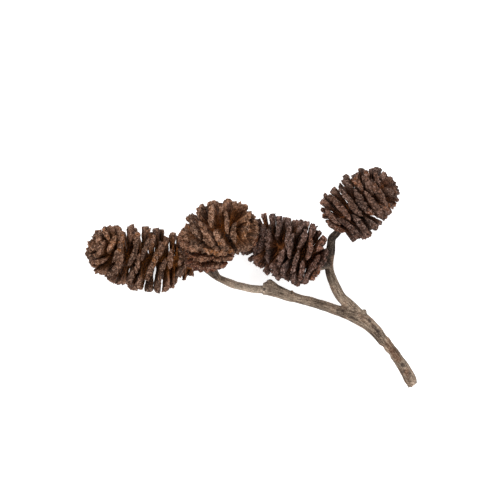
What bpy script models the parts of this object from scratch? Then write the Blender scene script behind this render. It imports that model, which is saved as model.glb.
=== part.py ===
"""A picked alder sprig: a forked woody twig that carries four open cones.

Metres, +Z up. The sprig lies on the plane z = 0 on the lowest scales of three of its cones, and the
fourth, curled cone stands clear above them. The origin is under the middle of the sprig: +X runs along
its length towards the cut end of the twig, and +Y towards the cone on the fork's upper branch.
"""

import math
import random
from dataclasses import dataclass, field

import bmesh
import bpy
import numpy as np
from mathutils import Matrix, Vector

MM = 0.001

# The middle of the sprig's box, in the plane that the axes and stems below are given in. It is the origin.
MIDDLE = (0.291, 0.183)

# The gap between the twig and a cone, and what two neighbouring cones each keep to the plane between them.
GAP = 0.3 * MM
PLANE_GAP = 0.21 * MM
GOLDEN_ANGLE = math.radians(137.508)

# A full-grown scale, across its outer end and through its thickened lip.
SCALE_WIDTH = 5.8 * MM
SCALE_THICKNESS = 1.25 * MM
LEAST_THICKNESS = 0.66 * MM

# The core that the scales grow from.
CORE_SIDES = 7
CORE_RADIUS = 1.25 * MM
CORE_TIP_RADIUS = 0.75 * MM
CORE_RING_STEP = 2.2 * MM
# How far the core's blunt nose stands out of the tip's last scales, which close round it, and its radius.
NOSE_LENGTH = 1.5 * MM
NOSE_RADIUS = 0.45 * MM
# How far from the core's centreline a scale's own root starts, inside the core.
ROOT_START = 0.35 * MM

# How far apart the frames are that the scales' roots are read from.
AXIS_STEP = 0.2 * MM

STEM_SIDES = 8
STEM_RING_STEP = 1.5 * MM
# How many steps a smooth curve takes from one of its given points to the next, before it is measured.
CURVE_STEPS = 24

# How a scale changes from the cone's shoulder, at 0, to its tip, at 1. Its own base_reach and
# base_lean_deg say how the scales change from the cone's base to the shoulder.
LEAN_AT = (0.0, 0.45, 0.76, 0.91, 1.0)
LEAN_DEG = (-2, 10, 34, 58, 80)
REACH_AT = (0.0, 0.42, 0.74, 0.91, 1.0)
REACH_SHARE = (1.0, 1.0, 0.92, 0.78, 0.56)
WIDTH_AT = (0.0, 0.15, 0.80, 0.93, 1.0)
WIDTH_SHARE = (0.74, 1.0, 0.94, 0.74, 0.46)
# How much closer together the scales' roots stand at both ends of the core.
CROWDING = 0.04
# Where the middle of a scale's lip is, as a share of its length.
LIP_AT = 0.95
# How far from the core's own base face the first scale's root is.
FIRST_ROOT = 0.6 * MM

# A scale that has no room is made shorter and narrower by these shares at a time, and below the last one
# it is left out.
SHORTER = 0.92
NARROWER = 0.96
SHORTEST = 0.42


@dataclass
class Cone:
    """One cone. Its axis runs from base to tip, in millimetres, and reach is its longest scale's.

    The scales' reach grows from the share base_reach at its base to the whole at its shoulder.
    """

    name: str
    axis: list
    scales: int
    reach: float
    seed: int
    slant_deg: float
    base_reach: float
    base_lean_deg: float
    shoulder: float = 0.22
    first_turn_deg: float = 0.0
    rests_on_floor: bool = True
    # A scale whose lip would stand closer to another lip than this is left out, as inside a bend.
    lip_spacing: float = 1.9
    # Planes, as a point and a normal in millimetres, that its scales stay on the far side of.
    limits: list = field(default_factory=list)


# The plane between the curled cone and the base of the left one, and that under its tip and the middle one.
LEFT_PLANE = ((-12.4, 4.0, 8.6), (0.50, 0.22, 0.84))
MIDDLE_PLANE = ((-0.6, 7.0, 10.0), (-0.52, 0.10, 0.85))
# The middle of the fork's upper branch, which the middle cone's base stands beside and may overhang.
FORK_PLANE = ((17.3, 0.0, 0.0), (-1.0, 0.0, 0.0))
# The plane between the middle cone and the right one.
RIGHT_PLANE = ((16.0, 10.75, 0.0), (0.88, 0.47, 0.0))


def other_side(plane):
    """The same plane, seen from its other side."""
    point, normal = plane
    return point, tuple(-n for n in normal)


CONES = [
    Cone(
        "cone_left",
        [
            (-11.61, 2.74, 5.7),
            (-16.14, 3.59, 6.5),
            (-21.55, 4.02, 7.1),
            (-26.98, 4.75, 8.2),
            (-30.63, 6.14, 10.4),
        ],
        scales=99,
        reach=6.93,
        seed=894,
        slant_deg=-5,
        base_reach=0.30,
        base_lean_deg=-3,
        first_turn_deg=205,
        lip_spacing=1.8,
        shoulder=0.36,
        limits=[other_side(LEFT_PLANE)],
    ),
    Cone(
        "cone_curled",
        [
            (-8.45, 4.27, 9.2),
            (-8.79, 6.4, 10.6),
            (-8.13, 8.66, 12.0),
            (-6.52, 10.14, 13.3),
            (-4.79, 10.52, 14.4),
            (-3.39, 10.31, 15.3),
        ],
        scales=78,
        reach=7.14,
        seed=564,
        slant_deg=2,
        base_reach=0.63,
        base_lean_deg=-14,
        first_turn_deg=70,
        rests_on_floor=False,
        lip_spacing=2.3,
        limits=[LEFT_PLANE, MIDDLE_PLANE],
    ),
    Cone(
        "cone_middle",
        [(13.87, 3.25, 6.9), (11.97, 4.67, 7.1), (8.65, 6.09, 7.0), (4.9, 7.38, 6.7), (2.22, 8.41, 6.4)],
        scales=78,
        reach=6.82,
        seed=835,
        slant_deg=10,
        base_reach=0.77,
        base_lean_deg=-28,
        first_turn_deg=325,
        limits=[other_side(MIDDLE_PLANE), FORK_PLANE, other_side(RIGHT_PLANE)],
    ),
    Cone(
        "cone_right",
        [
            (19.17, 10.71, 6.8),
            (21.01, 13.44, 6.8),
            (23.32, 15.88, 6.6),
            (25.45, 17.58, 6.7),
            (27.24, 18.96, 7.4),
        ],
        scales=74,
        reach=6.54,
        seed=375,
        slant_deg=-5,
        base_reach=0.65,
        base_lean_deg=-26,
        first_turn_deg=335,
        lip_spacing=2.1,
        limits=[RIGHT_PLANE],
    ),
]

# The twig's stretches: points of x, y, z and radius, in millimetres, from its cut end outwards.
MAIN_STEM = [
    (35.1, -23.2, 2.0, 1.02),
    (34.6, -22.0, 2.1, 1.25),
    (33.55, -20.0, 2.3, 1.28),
    (30.7, -16.0, 2.9, 1.1),
    (27.0, -11.5, 3.8, 1.35),
    (24.7, -9.35, 4.2, 1.55),
    (21.8, -7.9, 4.4, 1.5),
    (18.5, -6.9, 4.5, 1.13),
    (14.9, -5.7, 4.6, 1.05),
    (11.5, -4.8, 4.6, 1.02),
    (8.9, -4.1, 4.6, 1.1),
    (6.3, -3.1, 4.6, 1.26),
    (4.3, -2.4, 4.6, 1.5),
    (2.7, -2.3, 4.6, 1.25),
]
THIN_STEM = [
    (3.8, -2.5, 4.6, 0.82),
    (2.5, -2.45, 4.6, 0.82),
    (-1.0, -2.05, 4.7, 0.84),
    (-4.3, -1.12, 5.0, 0.84),
    (-7.2, 0.2, 5.3, 0.8),
]
FORK_STEM = [
    (24.6, -9.0, 4.2, 1.2),
    (21.9, -6.4, 4.6, 1.2),
    (19.45, -3.9, 4.8, 1.08),
    (17.75, -0.6, 4.9, 1.05),
    (17.0, 2.4, 4.8, 0.98),
    (17.35, 6.6, 4.7, 0.92),
    (17.6, 8.6, 5.2, 0.85),
]
CURLED_STALK = [
    (-6.9, 0.1, 5.3, 0.62),
    (-7.7, 1.6, 7.3, 0.7),
]
MIDDLE_STALK = [
    (17.1, 2.9, 4.9, 0.62),
]
# Knobs on the bark: a side shoot's stump at the joint, and two old bud scars.
KNOBS = [
    [(5.4, -2.8, 4.6, 1.25), (4.4, -1.4, 4.7, 0.95), (4.0, -0.5, 4.8, 0.4)],
    [(9.2, -4.2, 4.7, 0.6), (8.7, -2.85, 5.1, 0.42)],
    [(24.4, -8.6, 4.6, 0.8), (24.4, -6.9, 5.0, 0.5)],
]
# The stalk leaves the core's base face square to it, over this length.
STALK_RUN = 1.0 * MM
STALK_END_RADIUS = 0.8 * MM


def placed(points):
    """Points of x, y, z and perhaps a radius in millimetres, moved to the origin and in metres."""
    rows = np.array(points, float)
    rows[..., :2] -= MIDDLE
    return rows * MM


def catmull_rom(a, b, c, d, t):
    """The curve from b to c at t, for points that may carry a radius beside x, y and z."""
    return 0.5 * (2 * b + (c - a) * t + (2 * a - 5 * b + 4 * c - d) * t**2 + (3 * b - a - 3 * c + d) * t**3)


def smooth_path(points, step):
    """Points about step apart on one smooth curve through the given ones, both in metres."""
    knots = [2 * points[0] - points[1], *points, 2 * points[-1] - points[-2]]
    fine = []
    shares = np.linspace(0, 1, CURVE_STEPS, endpoint=False)
    for k in range(1, len(knots) - 2):
        fine += [catmull_rom(*knots[k - 1 : k + 3], t) for t in shares]
    fine = np.array([*fine, knots[-2]])
    along = np.concatenate([[0], np.cumsum(np.linalg.norm(np.diff(fine[:, :3], axis=0), axis=1))])
    wanted = np.linspace(0, along[-1], max(2, round(along[-1] / step) + 1))
    return np.stack([np.interp(wanted, along, fine[:, k]) for k in range(fine.shape[1])], axis=1)


def frames_along(path):
    """For each point of the path its place, its tangent and two normals that don't twist."""
    places = [Vector(p[:3]) for p in path]
    frames = []
    normal = None
    for k, place in enumerate(places):
        tangent = (places[min(k + 1, len(places) - 1)] - places[max(k - 1, 0)]).normalized()
        if normal is None:
            normal = tangent.orthogonal()
        normal = (normal - tangent * normal.dot(tangent)).normalized()
        frames.append((place, tangent, normal, tangent.cross(normal)))
    return frames


def mesh_object(name, points, faces):
    """A closed mesh as an object of the scene, with its faces pointing out."""
    mesh = bpy.data.meshes.new(name)
    mesh.from_pydata([tuple(p) for p in points], [], faces)
    body = bmesh.new()
    body.from_mesh(mesh)
    bmesh.ops.recalc_face_normals(body, faces=body.faces)
    body.to_mesh(mesh)
    body.free()
    made = bpy.data.objects.new(name, mesh)
    bpy.context.scene.collection.objects.link(made)
    return made


def tube(name, path, sides):
    """A round stem along a path whose points are x, y, z and radius, with flat ends."""
    points = []
    for (place, _, across, up), row in zip(frames_along(path), path):
        for k in range(sides):
            turn = 2 * math.pi * k / sides
            points.append(place + (across * math.cos(turn) + up * math.sin(turn)) * row[3])
    faces = [list(range(sides)), list(range(len(points) - sides, len(points)))]
    for ring in range(len(path) - 1):
        for k in range(sides):
            a, b = ring * sides + k, ring * sides + (k + 1) % sides
            faces.append([a, b, b + sides, a + sides])
    return mesh_object(name, points, faces)


def material(name, colour, roughness):
    """A plain non-metal finish."""
    made = bpy.data.materials.new(name)
    made.use_nodes = True
    shader = made.node_tree.nodes["Principled BSDF"]
    shader.inputs["Base Color"].default_value = (*colour, 1.0)
    shader.inputs["Roughness"].default_value = roughness
    shader.inputs["Metallic"].default_value = 0.0
    return made


def apply_modifiers(made):
    """Keeps the evaluated mesh of an object and drops its modifiers."""
    graph = bpy.context.evaluated_depsgraph_get()
    result = bpy.data.meshes.new_from_object(made.evaluated_get(graph))
    made.modifiers.clear()
    made.data = result


def keep_outer_shell(made):
    """Drops every shell but the largest: the hollows that fusing seals, which are filled so, and scraps."""
    body = bmesh.new()
    body.from_mesh(made.data)
    unseen = set(body.verts)
    shells = []
    while unseen:
        edge_of_search = [unseen.pop()]
        shell = set(edge_of_search)
        while edge_of_search:
            vertex = edge_of_search.pop()
            for edge in vertex.link_edges:
                other = edge.other_vert(vertex)
                if other in unseen:
                    unseen.discard(other)
                    shell.add(other)
                    edge_of_search.append(other)
        shells.append(shell)
    largest = max(shells, key=len)
    bmesh.ops.delete(body, geom=[v for v in body.verts if v not in largest], context="VERTS")
    body.to_mesh(made.data)
    body.free()


def unite(name, pieces, finish):
    """One solid from overlapping closed pieces, by one union over a collection."""
    body, *rest = pieces
    repeats = bpy.data.collections.new(name + "_pieces")
    bpy.context.scene.collection.children.link(repeats)
    for piece in rest:
        bpy.context.scene.collection.objects.unlink(piece)
        repeats.objects.link(piece)
    union = body.modifiers.new("union", "BOOLEAN")
    union.operation = "UNION"
    union.operand_type = "COLLECTION"
    union.collection = repeats
    union.solver = "MANIFOLD"
    apply_modifiers(body)
    for piece in rest:
        bpy.data.objects.remove(piece)
    bpy.data.collections.remove(repeats)
    keep_outer_shell(body)
    body.name = name
    body.data.name = name
    body.data.materials.clear()
    body.data.materials.append(finish)
    return body


def cut_at_floor(body):
    """Takes off what reaches below z = 0, which leaves small flats to rest on."""
    size = 100 * MM
    bpy.ops.mesh.primitive_cube_add(size=size, location=(0, 0, -size / 2))
    floor = bpy.context.object
    floor.name = "floor_cutter"
    cut = body.modifiers.new("floor", "BOOLEAN")
    cut.operation = "DIFFERENCE"
    cut.object = floor
    cut.solver = "MANIFOLD"
    apply_modifiers(body)
    bpy.data.objects.remove(floor)


@dataclass
class Scale:
    """One scale's place and size: it grows from root along out, and side is its width's direction."""

    root: np.ndarray
    out: np.ndarray
    side: np.ndarray
    up: np.ndarray
    length: float
    width: float
    thickness: float
    bow: float
    cup: float

    def half_width(self, t):
        """Half its width at the share t of its length: a narrow foot that opens like a fan."""
        return 0.5 * self.width * np.interp(t, (0.0, 0.30, 0.62, 0.90, 1.0), (0.20, 0.38, 0.76, 1.0, 0.94))

    def half_thickness(self, t):
        """Half its thickness at t: a thin blade with a thick lip."""
        swell = np.interp(t, (0.0, 0.50, 0.86, 0.97, 1.05), (0.66, 0.52, 0.90, 1.0, 0.72))
        return 0.5 * np.maximum(LEAST_THICKNESS, self.thickness * swell)

    def point(self, t, across, lift):
        """The place at the share t of its length, across from -1 to 1 and lift metres up."""
        rise = self.length * t * (self.bow * t + self.cup * across**2) + lift
        return (
            self.root
            + np.multiply.outer(t * self.length, self.out)
            + np.multiply.outer(across * self.half_width(t), self.side)
            + np.multiply.outer(rise, self.up)
        )


def axis_of(cone):
    """The cone's centreline as closely spaced frames."""
    return frames_along(smooth_path(placed(cone.axis), AXIS_STEP))


def lean_of(cone, t):
    """How far a scale at t leans towards the tip, in degrees."""
    if t < cone.shoulder:
        return float(np.interp(t, (0, cone.shoulder), (cone.base_lean_deg, LEAN_DEG[0])))
    return float(np.interp((t - cone.shoulder) / (1 - cone.shoulder), LEAN_AT, LEAN_DEG))


def reach_of(cone, t):
    """How far a scale at t reaches, in metres."""
    if t < cone.shoulder:
        share = np.interp(t, (0, cone.shoulder), (cone.base_reach, 1))
    else:
        share = np.interp((t - cone.shoulder) / (1 - cone.shoulder), REACH_AT, REACH_SHARE)
    return cone.reach * MM * float(share)


def scale_at(cone, k, frames, draw):
    """The k-th scale from the base, wound round the axis by the golden angle, before it is fitted in."""
    t = (k + 0.5) / cone.scales
    along = t - CROWDING * math.sin(2 * math.pi * t)
    first = FIRST_ROOT / AXIS_STEP
    place, tangent, across, up = frames[round(first + along * (len(frames) - 1 - first))]
    turn = math.radians(cone.first_turn_deg) + k * GOLDEN_ANGLE + math.radians(draw.uniform(-6, 6))
    lean = math.radians(lean_of(cone, t) + draw.uniform(-6, 6))
    slant = math.radians(cone.slant_deg + draw.uniform(-11, 11))
    radial = across * math.cos(turn) + up * math.sin(turn)
    out = radial * math.cos(lean) + tangent * math.sin(lean)
    side = Matrix.Rotation(slant, 3, out) @ tangent.cross(radial)
    return Scale(
        root=np.array(place),
        out=np.array(out),
        side=np.array(side),
        up=np.array(out.cross(side)),
        length=reach_of(cone, t) * draw.uniform(0.94, 1.05),
        width=SCALE_WIDTH * float(np.interp(t, WIDTH_AT, WIDTH_SHARE)) * draw.uniform(0.86, 1.12),
        thickness=SCALE_THICKNESS * draw.uniform(0.85, 1.15),
        bow=draw.uniform(-0.05, 0.09),
        cup=draw.uniform(-0.03, 0.10),
    )


def scale_places(cone, stems):
    """The cone's scales from base to tip, without those that find no room."""
    draw = random.Random(cone.seed)
    frames = axis_of(cone)
    found = []
    for k in range(cone.scales):
        scale = scale_at(cone, k, frames, draw)
        if fit_in(scale, cone, stems) and lip_is_free(scale, found, cone.lip_spacing * MM):
            found.append(scale)
    return found


# Where a scale is tested for room: along its length, across it, and on its lower face, middle and upper face.
TESTS = np.meshgrid(np.linspace(0.28, 1.0, 10), np.linspace(-1, 1, 9), (-1.0, 0.0, 1.0))
TEST_T, TEST_ACROSS, TEST_LEVEL = (grid.ravel() for grid in TESTS)


def has_room(scale, cone, stems):
    """Whether the scale keeps clear of its cone's limits and of the twig."""
    places = scale.point(TEST_T, TEST_ACROSS, TEST_LEVEL * scale.half_thickness(TEST_T))
    for point, normal in cone.limits:
        away = np.array(normal) / np.linalg.norm(normal)
        if ((places - placed(point)) @ away).min() < PLANE_GAP:
            return False
    centres, radii = stems
    return (np.linalg.norm(places[:, None] - centres, axis=2) - radii).min() > GAP


def fit_in(scale, cone, stems):
    """Shortens a scale until it has room, and says whether it found any."""
    least = scale.length * SHORTEST
    while not has_room(scale, cone, stems):
        scale.length *= SHORTER
        scale.width *= NARROWER
        if scale.length < least:
            return False
    return True


def lip_is_free(scale, others, spacing):
    """Whether the scale's lip stands clear of the lips of those already placed."""
    lip = scale.point(LIP_AT, 0.0, 0.0)
    return all(np.linalg.norm(lip - other.point(LIP_AT, 0.0, 0.0)) > spacing for other in others)


# A scale's outline, as shares of its length and half width: one shoulder, a lip of three lobes, the other.
LIP = (
    (0.88, 1.0),
    (1.01, 0.62),
    (0.955, 0.30),
    (1.035, 0.0),
    (0.955, -0.30),
    (1.01, -0.62),
    (0.88, -1.0),
)
# How much thinner the sides of the lip are than its middle.
SIDE_TAPER = 0.4


def scale_solid(name, scale):
    """The scale as a closed wedge with a lobed lip."""
    foot = ROOT_START / scale.length
    outline = [(foot, 1.0), *LIP, (foot, -1.0)]
    points = []
    for level in (-1, 1):
        for t, across in outline:
            lift = level * scale.half_thickness(t) * (1 - SIDE_TAPER * abs(across) * t)
            points.append(scale.point(t, across, lift))
    count = len(outline)
    faces = [[k, (k + 1) % count, (k + 1) % count + count, k + count] for k in range(count)]
    # The upper and lower faces are cut into the same polygons.
    for face in ((0, 1, 7, 8), (1, 2, 3), (3, 4, 5), (5, 6, 7), (1, 3, 5, 7)):
        faces.append(list(face))
        faces.append([k + count for k in face])
    return mesh_object(name, points, faces)


def core_solid(name, cone):
    """The cone's woody core, slimmer towards the tip and with a blunt nose."""
    path = smooth_path(placed(cone.axis), CORE_RING_STEP)
    share = np.linspace(0, 1, len(path))
    radii = np.interp(share, (0, 0.7, 1), (CORE_RADIUS, CORE_RADIUS, CORE_TIP_RADIUS))
    place, tangent, _, _ = axis_of(cone)[-1]
    nose = (*(place + tangent * NOSE_LENGTH), NOSE_RADIUS)
    return tube(name, np.array([*np.column_stack([path, radii]), nose]), CORE_SIDES)


def build_cone(cone, stems, finish):
    """The cone's core and scales as one solid."""
    pieces = [core_solid(cone.name + "_core", cone)]
    for k, scale in enumerate(scale_places(cone, stems)):
        pieces.append(scale_solid(f"{cone.name}_scale_{k}", scale))
    body = unite(cone.name, pieces, finish)
    if cone.rests_on_floor:
        cut_at_floor(body)
    return body


def into_cone(stem, cone):
    """The stem led square up to the base of the cone's core, a gap short of it."""
    place, tangent, _, _ = axis_of(cone)[0]
    ends = [place - tangent * (GAP + STALK_RUN), place - tangent * GAP]
    return np.array([*placed(stem), *[(*end, STALK_END_RADIUS) for end in ends]])


def stem_points():
    """Every stretch of the twig as points of x, y, z and radius, in metres."""
    left, curled, middle, right = CONES
    return [
        placed(MAIN_STEM),
        into_cone(THIN_STEM, left),
        into_cone(FORK_STEM, right),
        into_cone(CURLED_STALK, curled),
        into_cone(MIDDLE_STALK, middle),
        *[placed(knob) for knob in KNOBS],
    ]


def stem_balls(stretches):
    """The room that the twig takes, as the centres and radii of balls along it."""
    rows = np.concatenate([smooth_path(stretch, 0.4 * MM) for stretch in stretches])
    return rows[:, :3], rows[:, 3]


def build_twig(stretches, finish):
    """The twig with its stalks and knobs as one solid."""
    pieces = [tube(f"stem_{k}", smooth_path(s, STEM_RING_STEP), STEM_SIDES) for k, s in enumerate(stretches)]
    return unite("twig", pieces, finish)


def main():
    for old in list(bpy.data.objects):
        bpy.data.objects.remove(old)
    stretches = stem_points()
    balls = stem_balls(stretches)
    build_twig(stretches, material("bark", (0.30, 0.24, 0.19), 0.85))
    cone_finish = material("cone_scale", (0.10, 0.055, 0.035), 0.8)
    for cone in CONES:
        build_cone(cone, balls, cone_finish)


main()
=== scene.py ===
"""The looks of the alder sprig: finely shaped scales and bark in place of the plain solids, their finish,
a pale floor, soft light and a camera that looks straight down.

Metres, in the frame of the loaded model. Each cone's scales stand where the solids have them: the axes, the
stems and the draws that place a scale are the part's own.
"""

import math
import random
from dataclasses import dataclass, field

import bpy
import numpy as np
from mathutils import Matrix, Vector, noise


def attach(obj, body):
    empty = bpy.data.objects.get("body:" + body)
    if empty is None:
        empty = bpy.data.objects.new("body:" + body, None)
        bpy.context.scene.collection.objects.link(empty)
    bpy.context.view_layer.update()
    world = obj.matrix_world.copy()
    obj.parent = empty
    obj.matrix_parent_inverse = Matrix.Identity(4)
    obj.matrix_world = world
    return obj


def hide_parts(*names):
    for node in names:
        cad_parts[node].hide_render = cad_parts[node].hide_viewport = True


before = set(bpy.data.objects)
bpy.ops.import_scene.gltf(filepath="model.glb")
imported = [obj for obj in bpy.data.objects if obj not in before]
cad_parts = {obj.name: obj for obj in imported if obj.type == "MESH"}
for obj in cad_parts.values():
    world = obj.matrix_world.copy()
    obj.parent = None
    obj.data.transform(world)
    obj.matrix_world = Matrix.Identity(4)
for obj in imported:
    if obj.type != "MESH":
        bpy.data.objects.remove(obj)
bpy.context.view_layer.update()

MM = 0.001

# The middle of the sprig's box, in the plane that the axes and stems below are given in. It is the origin.
MIDDLE = (0.291, 0.183)

# The gap between the twig and a cone, and what two neighbouring cones each keep to the plane between them.
GAP = 0.3 * MM
PLANE_GAP = 0.21 * MM
GOLDEN_ANGLE = math.radians(137.508)

# A full-grown scale, across its outer end and through its thickened lip.
SCALE_WIDTH = 5.8 * MM
SCALE_THICKNESS = 1.25 * MM
LEAST_THICKNESS = 0.66 * MM

# The core that the scales grow from.
CORE_RADIUS = 1.25 * MM
CORE_TIP_RADIUS = 0.75 * MM
NOSE_LENGTH = 1.5 * MM
NOSE_RADIUS = 0.45 * MM
# How far from the core's centreline a scale's own root starts, inside the core.
ROOT_START = 0.35 * MM
# How far apart the frames are that the scales' roots are read from.
AXIS_STEP = 0.2 * MM
# How many steps a smooth curve takes from one of its given points to the next, before it is measured.
CURVE_STEPS = 24

# How a scale changes from the cone's shoulder, at 0, to its tip, at 1. Its own base_reach and
# base_lean_deg say how the scales change from the cone's base to the shoulder.
LEAN_AT = (0.0, 0.45, 0.76, 0.91, 1.0)
LEAN_DEG = (-2, 10, 34, 58, 80)
REACH_AT = (0.0, 0.42, 0.74, 0.91, 1.0)
REACH_SHARE = (1.0, 1.0, 0.92, 0.78, 0.56)
WIDTH_AT = (0.0, 0.15, 0.80, 0.93, 1.0)
WIDTH_SHARE = (0.74, 1.0, 0.94, 0.74, 0.46)
# How much closer together the scales' roots stand at both ends of the core.
CROWDING = 0.04
# How far each scale strays from its cone's rule: in degrees either way, and as shares, from and to.
TURN_STRAY = 6
LEAN_STRAY = 6
SLANT_STRAY = 11
LENGTH_STRAY = (0.94, 1.05)
WIDTH_STRAY = (0.86, 1.12)
THICKNESS_STRAY = (0.85, 1.15)
# How far a scale bows up along its length and cups up at its sides, as shares of its length, from and to.
BOW = (-0.05, 0.09)
CUP = (-0.03, 0.10)
# A scale's width along its length: a narrow foot that opens like a fan.
OPENS_AT = (0.0, 0.30, 0.62, 0.90, 1.0)
OPENS_TO = (0.20, 0.38, 0.76, 1.0, 0.94)
# A scale's thickness along its length: a thin blade with a thick lip.
THICKENS_AT = (0.0, 0.50, 0.86, 0.97, 1.05)
THICKENS_TO = (0.66, 0.52, 0.90, 1.0, 0.72)
# Where the middle of a scale's lip is, as a share of its length.
LIP_AT = 0.95
# How far from the core's own base face the first scale's root is.
FIRST_ROOT = 0.6 * MM

# A scale that has no room is made shorter and narrower by these shares at a time, and below the last one
# it is left out.
SHORTER = 0.92
NARROWER = 0.96
SHORTEST = 0.42


@dataclass
class Cone:
    """One cone. Its axis runs from base to tip, in millimetres, and reach is its longest scale's.

    The scales' reach grows from the share base_reach at its base to the whole at its shoulder.
    """

    name: str
    axis: list
    scales: int
    reach: float
    seed: int
    slant_deg: float
    base_reach: float
    base_lean_deg: float
    shoulder: float = 0.22
    first_turn_deg: float = 0.0
    # A scale whose lip would stand closer to another lip than this is left out, as inside a bend.
    lip_spacing: float = 1.9
    # Planes, as a point and a normal in millimetres, that its scales stay on the far side of.
    limits: list = field(default_factory=list)


# The plane between the curled cone and the base of the left one, and that under its tip and the middle one.
LEFT_PLANE = ((-12.4, 4.0, 8.6), (0.50, 0.22, 0.84))
MIDDLE_PLANE = ((-0.6, 7.0, 10.0), (-0.52, 0.10, 0.85))
# The middle of the fork's upper branch, which the middle cone's base stands beside and may overhang.
FORK_PLANE = ((17.3, 0.0, 0.0), (-1.0, 0.0, 0.0))
# The plane between the middle cone and the right one.
RIGHT_PLANE = ((16.0, 10.75, 0.0), (0.88, 0.47, 0.0))


def other_side(plane):
    """The same plane, seen from its other side."""
    point, normal = plane
    return point, tuple(-n for n in normal)


CONES = [
    Cone(
        "cone_left",
        [
            (-11.61, 2.74, 5.7),
            (-16.14, 3.59, 6.5),
            (-21.55, 4.02, 7.1),
            (-26.98, 4.75, 8.2),
            (-30.63, 6.14, 10.4),
        ],
        scales=99,
        reach=6.93,
        seed=894,
        slant_deg=-5,
        base_reach=0.30,
        base_lean_deg=-3,
        first_turn_deg=205,
        lip_spacing=1.8,
        shoulder=0.36,
        limits=[other_side(LEFT_PLANE)],
    ),
    Cone(
        "cone_curled",
        [
            (-8.45, 4.27, 9.2),
            (-8.79, 6.4, 10.6),
            (-8.13, 8.66, 12.0),
            (-6.52, 10.14, 13.3),
            (-4.79, 10.52, 14.4),
            (-3.39, 10.31, 15.3),
        ],
        scales=78,
        reach=7.14,
        seed=564,
        slant_deg=2,
        base_reach=0.63,
        base_lean_deg=-14,
        first_turn_deg=70,
        lip_spacing=2.3,
        limits=[LEFT_PLANE, MIDDLE_PLANE],
    ),
    Cone(
        "cone_middle",
        [(13.87, 3.25, 6.9), (11.97, 4.67, 7.1), (8.65, 6.09, 7.0), (4.9, 7.38, 6.7), (2.22, 8.41, 6.4)],
        scales=78,
        reach=6.82,
        seed=835,
        slant_deg=10,
        base_reach=0.77,
        base_lean_deg=-28,
        first_turn_deg=325,
        limits=[other_side(MIDDLE_PLANE), FORK_PLANE, other_side(RIGHT_PLANE)],
    ),
    Cone(
        "cone_right",
        [
            (19.17, 10.71, 6.8),
            (21.01, 13.44, 6.8),
            (23.32, 15.88, 6.6),
            (25.45, 17.58, 6.7),
            (27.24, 18.96, 7.4),
        ],
        scales=74,
        reach=6.54,
        seed=375,
        slant_deg=-5,
        base_reach=0.65,
        base_lean_deg=-26,
        first_turn_deg=335,
        lip_spacing=2.1,
        limits=[RIGHT_PLANE],
    ),
]

# The twig's stretches: points of x, y, z and radius, in millimetres, from its cut end outwards.
MAIN_STEM = [
    (35.1, -23.2, 2.0, 1.02),
    (34.6, -22.0, 2.1, 1.25),
    (33.55, -20.0, 2.3, 1.28),
    (30.7, -16.0, 2.9, 1.1),
    (27.0, -11.5, 3.8, 1.35),
    (24.7, -9.35, 4.2, 1.55),
    (21.8, -7.9, 4.4, 1.5),
    (18.5, -6.9, 4.5, 1.13),
    (14.9, -5.7, 4.6, 1.05),
    (11.5, -4.8, 4.6, 1.02),
    (8.9, -4.1, 4.6, 1.1),
    (6.3, -3.1, 4.6, 1.26),
    (4.3, -2.4, 4.6, 1.5),
    (2.7, -2.3, 4.6, 1.25),
]
THIN_STEM = [
    (3.8, -2.5, 4.6, 0.82),
    (2.5, -2.45, 4.6, 0.82),
    (-1.0, -2.05, 4.7, 0.84),
    (-4.3, -1.12, 5.0, 0.84),
    (-7.2, 0.2, 5.3, 0.8),
]
FORK_STEM = [
    (24.6, -9.0, 4.2, 1.2),
    (21.9, -6.4, 4.6, 1.2),
    (19.45, -3.9, 4.8, 1.08),
    (17.75, -0.6, 4.9, 1.05),
    (17.0, 2.4, 4.8, 0.98),
    (17.35, 6.6, 4.7, 0.92),
    (17.6, 8.6, 5.2, 0.85),
]
CURLED_STALK = [
    (-6.9, 0.1, 5.3, 0.62),
    (-7.7, 1.6, 7.3, 0.7),
]
MIDDLE_STALK = [
    (17.1, 2.9, 4.9, 0.62),
]
# Knobs on the bark: a side shoot's stump at the joint, and two old bud scars.
KNOBS = [
    [(5.4, -2.8, 4.6, 1.25), (4.4, -1.4, 4.7, 0.95), (4.0, -0.5, 4.8, 0.4)],
    [(9.2, -4.2, 4.7, 0.6), (8.7, -2.85, 5.1, 0.42)],
    [(24.4, -8.6, 4.6, 0.8), (24.4, -6.9, 5.0, 0.5)],
]
# How far apart the balls are that stand for the twig when a scale looks for room.
BALL_STEP = 0.4 * MM
# The stalk leaves the core's base face square to it, over this length.
STALK_RUN = 1.0 * MM
STALK_END_RADIUS = 0.8 * MM


def placed(points):
    """Points of x, y, z and perhaps a radius in millimetres, moved to the origin and in metres."""
    rows = np.array(points, float)
    rows[..., :2] -= MIDDLE
    return rows * MM


def catmull_rom(a, b, c, d, t):
    """The curve from b to c at t, for points that may carry a radius beside x, y and z."""
    return 0.5 * (2 * b + (c - a) * t + (2 * a - 5 * b + 4 * c - d) * t**2 + (3 * b - a - 3 * c + d) * t**3)


def smooth_path(points, step):
    """Points about step apart on one smooth curve through the given ones, both in metres."""
    knots = [2 * points[0] - points[1], *points, 2 * points[-1] - points[-2]]
    fine = []
    shares = np.linspace(0, 1, CURVE_STEPS, endpoint=False)
    for k in range(1, len(knots) - 2):
        fine += [catmull_rom(*knots[k - 1 : k + 3], t) for t in shares]
    fine = np.array([*fine, knots[-2]])
    along = np.concatenate([[0], np.cumsum(np.linalg.norm(np.diff(fine[:, :3], axis=0), axis=1))])
    wanted = np.linspace(0, along[-1], max(2, round(along[-1] / step) + 1))
    return np.stack([np.interp(wanted, along, fine[:, k]) for k in range(fine.shape[1])], axis=1)


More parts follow.
